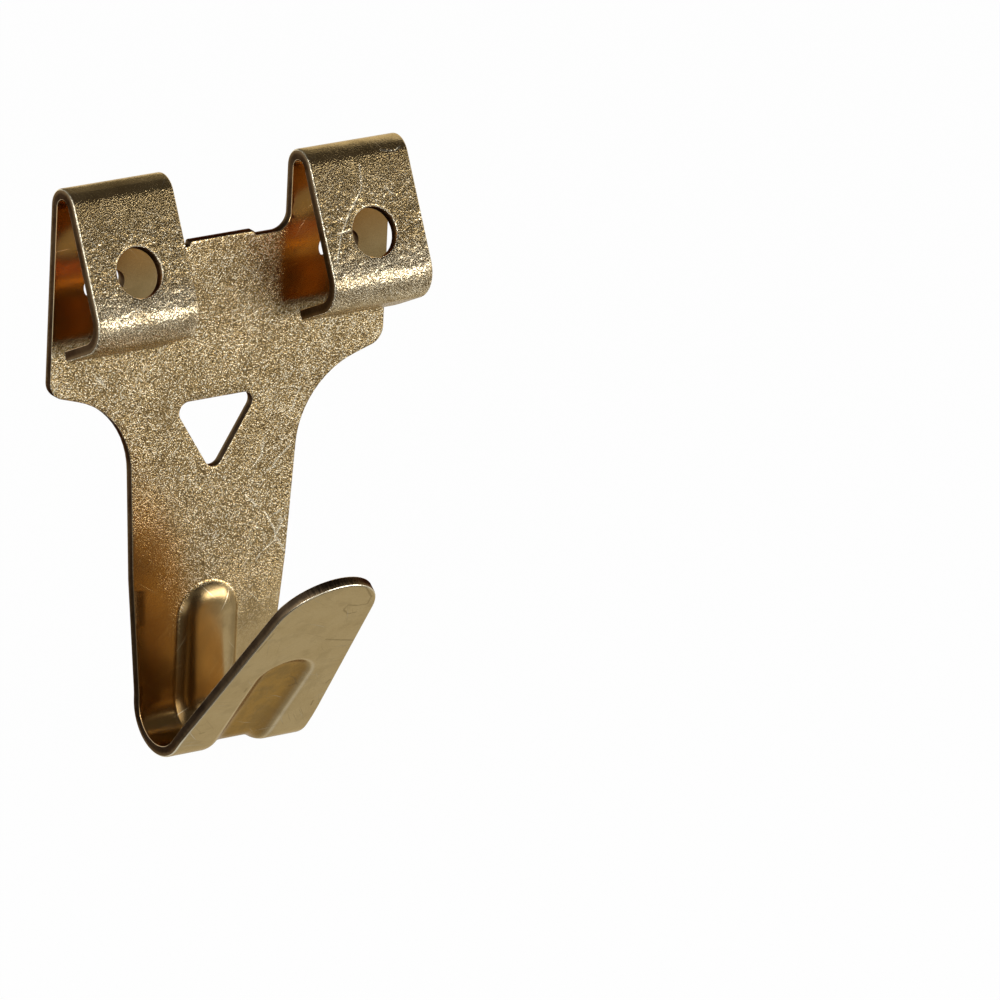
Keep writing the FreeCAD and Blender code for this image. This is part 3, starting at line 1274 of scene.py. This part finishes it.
def bare(name: str) -> tuple[bpy.types.Material, Tree, Socket]:
    """Start a material without a shader.

    Args:
        name: Name of the material.

    Returns:
        The new material, its node tree and the input that takes its shader.
    """
    material = bpy.data.materials.new(name)
    material.use_nodes = True
    nodes = material.node_tree.nodes
    nodes.remove(nodes["Principled BSDF"])
    return material, Tree(material.node_tree), nodes["Material Output"].inputs["Surface"]


def largest(tree: Tree, values: list[Socket]) -> Socket:
    """Give the largest of some values.

    Args:
        tree: Node tree of the material.
        values: The values.

    Returns:
        Socket of the largest one.
    """
    result = values[0]
    for value in values[1:]:
        result = tree.math("MAXIMUM", result, value)
    return result


@dataclass(frozen=True)
class PlatedFinish:
    """Satin brass plating on tumbled steel sheet, for one skin of the blank."""

    name: str
    depth: float
    smooth: tuple[Zone, ...]
    pale: tuple[Zone, ...] = ()
    # Painted reflections: zones and patches tinted amber where the plating faces its own plating.
    painted_reflections: tuple[Zone | Patch, ...] = ()
    # Painted highlights: zones made paler.
    painted_highlights: tuple[Zone, ...] = ()
    strokes: Strokes = ()
    scores: Strokes = ()
    colour: Colour = (0.56, 0.405, 0.19)
    cloud_colour: Colour = (0.35, 0.242, 0.103)
    pale_colour: Colour = (0.5, 0.385, 0.205)
    # Colour of the painted reflections and shade.
    painted_reflections_colour: Colour = (0.5, 0.265, 0.075)
    # Also the colour of the painted highlights.
    fleck_and_highlight_colour: Colour = (0.86, 0.78, 0.6)
    # Also the colour of the painted shade on the bead.
    pit_and_shade_colour: Colour = (0.15, 0.1, 0.045)
    # Colour of the painted shade and reflection in the bead's groove.
    groove_shade_colour: Colour = (0.38, 0.21, 0.05)
    edge_tint: Colour = (0.95, 0.82, 0.6)
    roughness: float = 0.17
    smooth_roughness: float = 0.16
    fleck_height: float = 0.012
    stroke_width: float = 0.13
    # Strength of the painted shade and reflection in the bead's groove.
    hollow: float = 0.0
    scuff: float = 0.0
    scuff_scale: float = 1.3
    press_reach: float = 0.35
    press_roughness: float = 0.03
    pit_roughness: float = 0.1
    cloud_roughness: float = 0.05
    fleck_roughness: float = 0.06
    smooth_strength: float = 0.96
    cloud_size: float = 3.2
    cloud_strength: float = 0.85
    fleck_strength: float = 0.85
    pit_strength: float = 0.95
    wear_strength: float = 0.85
    wear_reach: float = 0.07
    stroke_strength: float = 0.85
    stroke_depth: float = 0.5
    hairline_cover: float = 0.15
    hairline_strength: float = 0.4
    score_cover: float = 0.45
    score_strength: float = 0.6
    fine_score_strength: float = 0.38
    smear_size: float = 2.2
    smear_strength: float = 0.16
    # Darkening towards the floor of the groove.
    groove_floor_dark_strength: float = 0.45
    # Painted highlight along the groove's shoulder.
    crest_highlight_strength: float = 0.25
    # Painted shade on the bead's flanks.
    flank_shade: float = 0.5

    def material(self, effects: Effects) -> bpy.types.Material:
        """Build the material.

        Args:
            effects: The shared node groups.

        Returns:
            The new material.
        """
        material, tree, shader = metal(self.name, self.edge_tint)
        place = tree.add("Attribute", attribute_name=BLANK).outputs["Vector"]
        pressed = tree.add("Attribute", attribute_name=PRESSED).outputs["Fac"]
        axes = tree.add("SeparateXYZ", {0: place}).outputs
        zones = [zone.mask(tree, axes) for zone in self.smooth]
        smooth = largest(tree, zones + [tree.ramp(pressed, 0.0, self.press_reach)])
        rolled = tree.math("ABSOLUTE", tree.math("SUBTRACT", axes["Y"], self.depth))
        worn = tree.ramp(rolled, 0.0, self.wear_reach)

        clouds = use(tree, effects.clouds, place, Size=self.cloud_size)["Tone"]
        flecks = use(tree, effects.flecks, place)
        hairlines = use(tree, effects.hairlines, place, Cover=self.hairline_cover)["Lines"]
        lines = tree.times(hairlines, self.hairline_strength)
        for mark in self.marks(tree, effects, place, self.strokes):
            lines = tree.math("MAXIMUM", lines, tree.times(mark, self.stroke_strength))
        coarse = tree.math("MULTIPLY_ADD", smooth, -self.smooth_strength, 1.0)
        bright = tree.times(flecks["Bright"], coarse)
        pits = tree.times(flecks["Pits"], coarse)

        colour = tree.blend(tree.times(clouds, self.cloud_strength), self.colour, self.cloud_colour)
        for zone in self.pale:
            share = tree.times(zone.mask(tree, axes), tree.ramp(clouds, 0.0, 1.0, 0.95, 0.7))
            colour = tree.blend(share, colour, self.pale_colour)
        # Painted reflection and shade: amber where the plating faces the hook's own plating, inside the
        # ear loops and low on the stem and lip.
        for zone in self.painted_reflections:
            colour = tree.blend(zone.mask(tree, axes), colour, self.painted_reflections_colour)
        # Painted highlight: paler plating along the ears' lower folds.
        for zone in self.painted_highlights:
            share = tree.times(zone.mask(tree, axes), tree.ramp(clouds, 0.0, 1.0, 0.5, 0.25))
            colour = tree.blend(share, colour, self.fleck_and_highlight_colour)
        # Painted shade and reflection in the bead's groove and a painted highlight along its shoulder,
        # with real smears and scores.
        if self.hollow:
            colour = self.stain_and_shade(tree, effects, place, pressed, smooth, colour)
        # Painted shade on both flanks of the bead.
        flank = tree.times(tree.ramp(pressed, 0.1, 0.3), tree.ramp(pressed, 1.0, 0.6, 0.25, 1.0))
        colour = tree.blend(tree.times(flank, self.flank_shade), colour, self.pit_and_shade_colour)
        colour = tree.blend(tree.times(pits, self.pit_strength), colour, self.pit_and_shade_colour)
        glints = tree.times(bright, self.fleck_strength)
        shine = largest(tree, [glints, lines, tree.times(worn, self.wear_strength)])
        colour = tree.blend(shine, colour, self.fleck_and_highlight_colour)
        tree.join(colour, shader.inputs["Base Color"])

        rough = tree.ramp(smooth, 0.0, 1.0, self.roughness, self.smooth_roughness)
        rough = tree.math("MULTIPLY_ADD", pits, self.pit_roughness, rough)
        blurred = tree.ramp(pressed, 0.0, self.press_reach, 0.0, self.press_roughness)
        rough = tree.math("ADD", rough, blurred)
        rough = tree.math("MULTIPLY_ADD", clouds, self.cloud_roughness, rough)
        rough = tree.math("MULTIPLY_ADD", bright, self.fleck_roughness, rough, clamp=True)
        tree.join(rough, shader.inputs["Roughness"])

        relief = tree.times(flecks["Height"], coarse)
        relief = tree.math("MULTIPLY_ADD", lines, -self.stroke_depth, relief)
        if self.scuff:
            scuffs = tree.times(tree.noise(place, self.scuff_scale, detail=3.0, rough=0.6), coarse)
            relief = tree.math("MULTIPLY_ADD", scuffs, self.scuff, relief)
        bump = tree.add("Bump", {"Height": relief, "Distance": self.fleck_height * MM, "Strength": 1.0})
        tree.join(bump.outputs[0], shader.inputs["Normal"])
        return material

    def stain_and_shade(
        self, tree: Tree, effects: Effects, place: Socket, pressed: Socket, smooth: Socket, colour: Socket
    ) -> Socket:
        """Paint shade and reflection into the groove of the bead and a highlight along its shoulder,
        darken its floor, and smear and score the smooth part round it.

        Args:
            tree: Node tree of the material.
            effects: The shared node groups.
            place: Place on the blank.
            pressed: Share of the bead's depth.
            smooth: Share of the smooth part.
            colour: Colour of the plating so far.

        Returns:
            Socket of the new colour.
        """
        # Painted shade and reflection: amber on the floor of the bead's groove.
        sunk = tree.ramp(pressed, 0.15, 0.65, 0.0, self.hollow)
        colour = tree.blend(sunk, colour, self.groove_shade_colour)
        # Painted highlight along the shoulder of the groove.
        crest_highlight = tree.times(tree.ramp(pressed, 0.0, 0.06), tree.ramp(pressed, 0.2, 0.1))
        colour = tree.blend(tree.times(crest_highlight, self.crest_highlight_strength), colour, self.fleck_and_highlight_colour)
        smears = use(tree, effects.clouds, place, Size=self.smear_size)["Tone"]
        scores = use(tree, effects.hairlines, place, Cover=self.score_cover)["Lines"]
        fine = tree.times(scores, self.fine_score_strength)
        stain_and_shade = tree.math("MAXIMUM", fine, tree.ramp(smears, 0.5, 1.0, 0.0, self.smear_strength))
        # Darker towards the floor of the groove, broken up by the smears.
        floor = tree.ramp(pressed, 0.6, 0.9)
        groove_floor_dark = tree.times(floor, tree.ramp(smears, 0.1, 1.0, 0.0, self.groove_floor_dark_strength))
        stain_and_shade = largest(tree, [tree.times(stain_and_shade, smooth), groove_floor_dark])
        for mark in self.marks(tree, effects, place, self.scores):
            stain_and_shade = tree.math("MAXIMUM", stain_and_shade, tree.times(mark, self.score_strength))
        return tree.blend(stain_and_shade, colour, self.pit_and_shade_colour)

    def marks(self, tree: Tree, effects: Effects, place: Socket, strokes: Strokes) -> list[Socket]:
        """Draw scratches.

        Args:
            tree: Node tree of the material.
            effects: The shared node groups.
            place: Place on the blank.
            strokes: Points along each scratch, on the blank.

        Returns:
            One socket for each straight run, 1 along its middle.
        """
        drawn = []
        for stroke in strokes:
            for start, end in zip(stroke, stroke[1:]):
                ends = {"From": (start[0], 0.0, start[1]), "To": (end[0], 0.0, end[1])}
                drawn.append(use(tree, effects.mark, place, **ends, Width=self.stroke_width)["Line"])
        return drawn


def use(
    tree: Tree, group: bpy.types.NodeTree, vector: Socket, **values: object
) -> Sockets:
    """Place a shared group in a material.

    Args:
        tree: Node tree of the material.
        group: The shared group.
        vector: Place on the blank.
        values: Values of its other inputs.

    Returns:
        Outputs of the group.
    """
    node = tree.add("Group")
    node.node_tree = group
    tree.join(vector, node.inputs["Vector"])
    for name, value in values.items():
        node.inputs[name].default_value = value
    return node.outputs


@dataclass(frozen=True)
class ShearedFinish:
    """Bare cut edge: a burnished band and a darker torn one, streaked through the thickness."""

    name: str
    burnished_colour: Colour = (0.2, 0.14, 0.08)
    torn_colour: Colour = (0.05, 0.034, 0.022)
    edge_tint: Colour = (0.3, 0.21, 0.15)
    roughness: float = 0.42
    roughness_range: float = 0.1
    streak_size: tuple[float, float, float] = (0.14, 1.4, 0.14)
    streak_height: float = 0.035
    band_wander: float = 0.35
    band_fade: float = 0.3
    cloud_size: float = 2.5
    cloud_strength: float = 0.3

    def material(self, effects: Effects) -> bpy.types.Material:
        """Build the material.

        Args:
            effects: The shared node groups.

        Returns:
            The new material.
        """
        material, tree, shader = metal(self.name, self.edge_tint)
        place = tree.add("Attribute", attribute_name=BLANK).outputs["Vector"]
        depth = tree.add("SeparateXYZ", {0: place}).outputs["Y"]
        streaks = tree.noise(tree.turned(place, 0.0, self.streak_size), scale=1.0, detail=3.0, rough=0.6)
        clouds = use(tree, effects.clouds, place, Size=self.cloud_size)["Tone"]
        band = tree.math("MULTIPLY_ADD", streaks, self.band_wander, depth)
        burnished = tree.ramp(band, -self.band_fade, 0.0)
        colour = tree.blend(burnished, self.torn_colour, self.burnished_colour)
        colour = tree.blend(tree.times(clouds, self.cloud_strength), colour, self.burnished_colour)
        tree.join(colour, shader.inputs["Base Color"])
        low = self.roughness - self.roughness_range
        rough = tree.ramp(streaks, 0.3, 0.7, low, self.roughness + self.roughness_range)
        tree.join(rough, shader.inputs["Roughness"])
        bump = tree.add("Bump", {"Height": streaks, "Distance": self.streak_height * MM, "Strength": 1.0})
        tree.join(bump.outputs[0], shader.inputs["Normal"])
        return material


@dataclass(frozen=True)
class Lamp:
    """Soft oblong lamp that faces the object; a radiance of 1 makes its face look white."""

    name: str
    way: tuple[float, float, float]
    distance: float
    size: tuple[float, float]
    radiance: float
    middle: tuple[float, float, float] = (0.0, -0.005, -0.015)

    def add(self) -> None:
        """Add the lamp to the scene."""
        data = bpy.data.lights.new(self.name, "AREA")
        data.shape = "RECTANGLE"
        data.size, data.size_y = self.size
        data.energy = self.radiance * math.pi * data.size * data.size_y
        lamp = bpy.data.objects.new(self.name, data)
        bpy.context.scene.collection.objects.link(lamp)
        way = Vector(self.way).normalized()
        lamp.location = Vector(self.middle) + way * self.distance
        lamp.rotation_mode = "QUATERNION"
        lamp.rotation_quaternion = way.to_track_quat("Z", "Y")


@dataclass(frozen=True)
class Card:
    """Level grey card that only the metal's reflections see."""

    name: str
    low: tuple[float, float]
    high: tuple[float, float]
    height: float
    colour: Colour

    def add(self) -> None:
        """Add the card to the scene."""
        deselect_objects()
        low, high = Vector(self.low), Vector(self.high)
        middle = (low + high) / 2
        bpy.ops.mesh.primitive_plane_add(size=1, location=(middle.x, middle.y, self.height))
        card = bpy.context.object
        card.name = self.name
        card.scale = (high.x - low.x, high.y - low.y, 1)
        card.visible_camera = False
        card.visible_diffuse = False
        card.visible_shadow = False
        material, tree, surface = bare(self.name)
        glow = tree.add("Emission", {"Color": self.colour, "Strength": 1.0})
        tree.join(glow.outputs[0], surface)
        card.data.materials.append(material)


@dataclass
class Studio:
    """Camera, floor, lamps and cards."""

    azimuth: float = math.radians(35.127)
    elevation: float = math.radians(19.748)
    roll: float = math.radians(2.789)
    distance: float = 1.0798
    pixels: int = 1000
    pixels_per_metre: float = 12650.0
    anchor: Vector = field(default_factory=lambda: Vector((0, -0.000891, 0.0019)))
    anchor_pixel: Vector = field(default_factory=lambda: Vector((222.94, 241.0)))
    sensor: float = 36.0
    floor_size: float = 4.0
    # Painted shadow: the floor's glow near the object, as reflections see it.
    floor_glow: float = 0.64
    floor_glow_far: float = 1.0
    floor_near: float = 0.05
    floor_far: float = 0.2
    floor_shadow: float = 0.02
    paper_colour: Colour = (0.9, 0.9, 0.9)
    clip_ratio: float = 10.0
    world_light: float = 0.35
    lamps: tuple[Lamp, ...] = (
        Lamp("key_lamp", (-0.75, -0.62, 0.3), 0.3, (0.09, 0.09), 12.0),
        Lamp("front_strip", (0.54, -0.83, 0.07), 0.35, (0.4, 0.11), 6.0),
    )
    cards: tuple[Card, ...] = (
        Card("card_above", (-0.04, -0.087), (0.16, 0.004), 0.032, (0.08, 0.075, 0.07)),
        Card("card_behind", (-0.1, 0.004), (0.031, 0.08), 0.032, (0.2, 0.19, 0.17)),
        Card("card_beyond", (0.031, 0.004), (0.12, 0.08), 0.032, (1.0, 0.99, 0.97)),
        Card("card_front", (-0.1, -0.35), (0.04, -0.087), 0.032, (0.2, 0.19, 0.18)),
        Card("card_before", (0.0, -0.25), (0.26, -0.024), -0.0385, (0.34, 0.33, 0.31)),
        Card("card_left", (-0.09, -0.08), (-0.0075, 0.02), -0.0385, (0.13, 0.12, 0.11)),
    )

    def build(self, low: Vector) -> None:
        """Set up the whole studio.

        Args:
            low: Lowest corner of the object.
        """
        self.add_camera()
        self.add_world()
        self.add_floor(low.z)
        for lamp in self.lamps:
            lamp.add()
        for card in self.cards:
            card.add()

    def add_camera(self) -> None:
        """Put the camera where the anchor shows at its pixel."""
        data = bpy.data.cameras.new("camera")
        camera = bpy.data.objects.new("camera", data)
        bpy.context.scene.collection.objects.link(camera)
        bpy.context.scene.camera = camera
        back = Vector((
            -math.sin(self.azimuth) * math.cos(self.elevation),
            -math.cos(self.azimuth) * math.cos(self.elevation),
            math.sin(self.elevation),
        ))
        level = Vector((math.cos(self.azimuth), -math.sin(self.azimuth), 0))
        rise = back.cross(level)
        right = level * math.cos(self.roll) + rise * math.sin(self.roll)
        up = rise * math.cos(self.roll) - level * math.sin(self.roll)
        offset = (self.anchor_pixel - Vector((self.pixels, self.pixels)) / 2) / self.pixels_per_metre
        place = self.anchor - right * offset.x + up * offset.y + back * self.distance
        camera.matrix_world = Matrix((
            (right.x, up.x, back.x, place.x),
            (right.y, up.y, back.y, place.y),
            (right.z, up.z, back.z, place.z),
            (0, 0, 0, 1),
        ))
        data.sensor_width = self.sensor
        data.lens = self.sensor * self.pixels_per_metre * self.distance / self.pixels
        data.clip_start = self.distance / self.clip_ratio
        data.clip_end = self.distance * self.clip_ratio

    @staticmethod
    def seen(tree: Tree) -> Socket:
        """Share that is 1 for camera, glossy and transmission rays, and 0 for light on other surfaces.

        Args:
            tree: Node tree of a material or of the world.

        Returns:
            Socket of the share.
        """
        path = tree.add("LightPath").outputs
        mirrored = tree.math("MAXIMUM", path["Is Glossy Ray"], path["Is Transmission Ray"])
        return tree.math("MAXIMUM", path["Is Camera Ray"], mirrored)

    def add_world(self) -> None:
        """Make the backdrop white where it is seen, and a soft fill elsewhere."""
        world = bpy.data.worlds.new("studio")
        bpy.context.scene.world = world
        world.use_nodes = True
        tree = Tree(world.node_tree)
        background = world.node_tree.nodes["Background"]
        background.inputs["Color"].default_value = (1, 1, 1, 1)
        strength = tree.ramp(self.seen(tree), 0.0, 1.0, self.world_light, 1.0)
        tree.join(strength, background.inputs["Strength"])

    def add_floor(self, height: float) -> None:
        """Lay the pale floor under the object, with a painted shadow near it that only the metal's
        reflections see.

        Args:
            height: Level of the floor.
        """
        deselect_objects()
        bpy.ops.mesh.primitive_plane_add(size=self.floor_size, location=(0, 0, height))
        floor = bpy.context.object
        floor.name = "floor"
        material, tree, surface = bare("floor_paper")
        path = tree.add("LightPath").outputs
        place = tree.add("NewGeometry").outputs["Position"]
        reach = tree.add("VectorMath", {0: place}, operation="LENGTH").outputs["Value"]
        # Painted shadow: the floor's glow in the metal's reflections is dimmer near the object.
        mirrored = tree.ramp(
            reach, self.floor_near, self.floor_far, self.floor_glow, self.floor_glow_far
        )
        strength = tree.math("MAXIMUM", path["Is Camera Ray"], mirrored)
        paper = tree.add("BsdfDiffuse", {"Color": self.paper_colour})
        glow = tree.add("Emission", {"Color": (1.0, 1.0, 1.0), "Strength": strength})
        share = tree.times(self.seen(tree), 1.0 - self.floor_shadow)
        mix = tree.add("MixShader", {0: share, 1: paper.outputs[0], 2: glow.outputs[0]})
        tree.join(mix.outputs[0], surface)
        floor.data.materials.append(material)


def finishes() -> dict[Skin, PlatedFinish | ShearedFinish]:
    """Give the finish of each skin and of the cut edges.

    Returns:
        Finishes by skin.
    """
    return {
        Skin.OUTER: PlatedFinish(
            "plated_outer",
            depth=0.0,
            smooth=(Zone(-70.0, -44.0, 4.0), Zone(6.5, 10.5, 4.5, share=0.92)),
            pale=(Zone(-70.0, -43.0, 5.0),),
            # Painted highlight along the ears' lower folds.
            painted_highlights=(Zone(20.3, 23.0, 2.0),),
            strokes=EAR_STROKES,
            scores=LIP_SCORES,
            # Painted shade and reflection in the bead's groove on the outer skin.
            hollow=1.0,
            fleck_height=0.03,
            scuff=5.0,
        ),
        Skin.INNER: PlatedFinish(
            "plated_inner",
            depth=-Sheet().thickness,
            smooth=(SMOOTH_PATCH, Zone(-70.0, -34.0, 12.0), Zone(-3.5, 30.0, 1.5, beyond=5.6)),
            # Painted reflections and shade: amber inside the ear loops, low on the stem and lip, and in a
            # patch left of the stem.
            painted_reflections=(
                Zone(3.5, 30.0, 5.0, beyond=5.6),
                Zone(-70.0, -38.0, 5.0, share=0.5),
                PAINTED_REFLECTION_PATCH,
            ),
            strokes=PLATE_STROKES,
        ),
        Skin.CUT: ShearedFinish("sheared_edge"),
    }


def main() -> None:
    """Build the hook and the studio."""
    logging.basicConfig(level=logging.INFO, format="%(name)s: %(message)s")
    bpy.context.scene.view_settings.view_transform = "Standard"
    effects = Effects()
    piece = HookSheet().build()
    for skin, finish in finishes().items():
        piece.data.materials[skin.value] = finish.material(effects)
    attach(piece, BODY)
    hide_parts(NODE)
    log.info("%s: %d faces", piece.name, len(piece.data.polygons))
    Studio().build(cad_box[0])


if __name__ == "__main__":
    main()
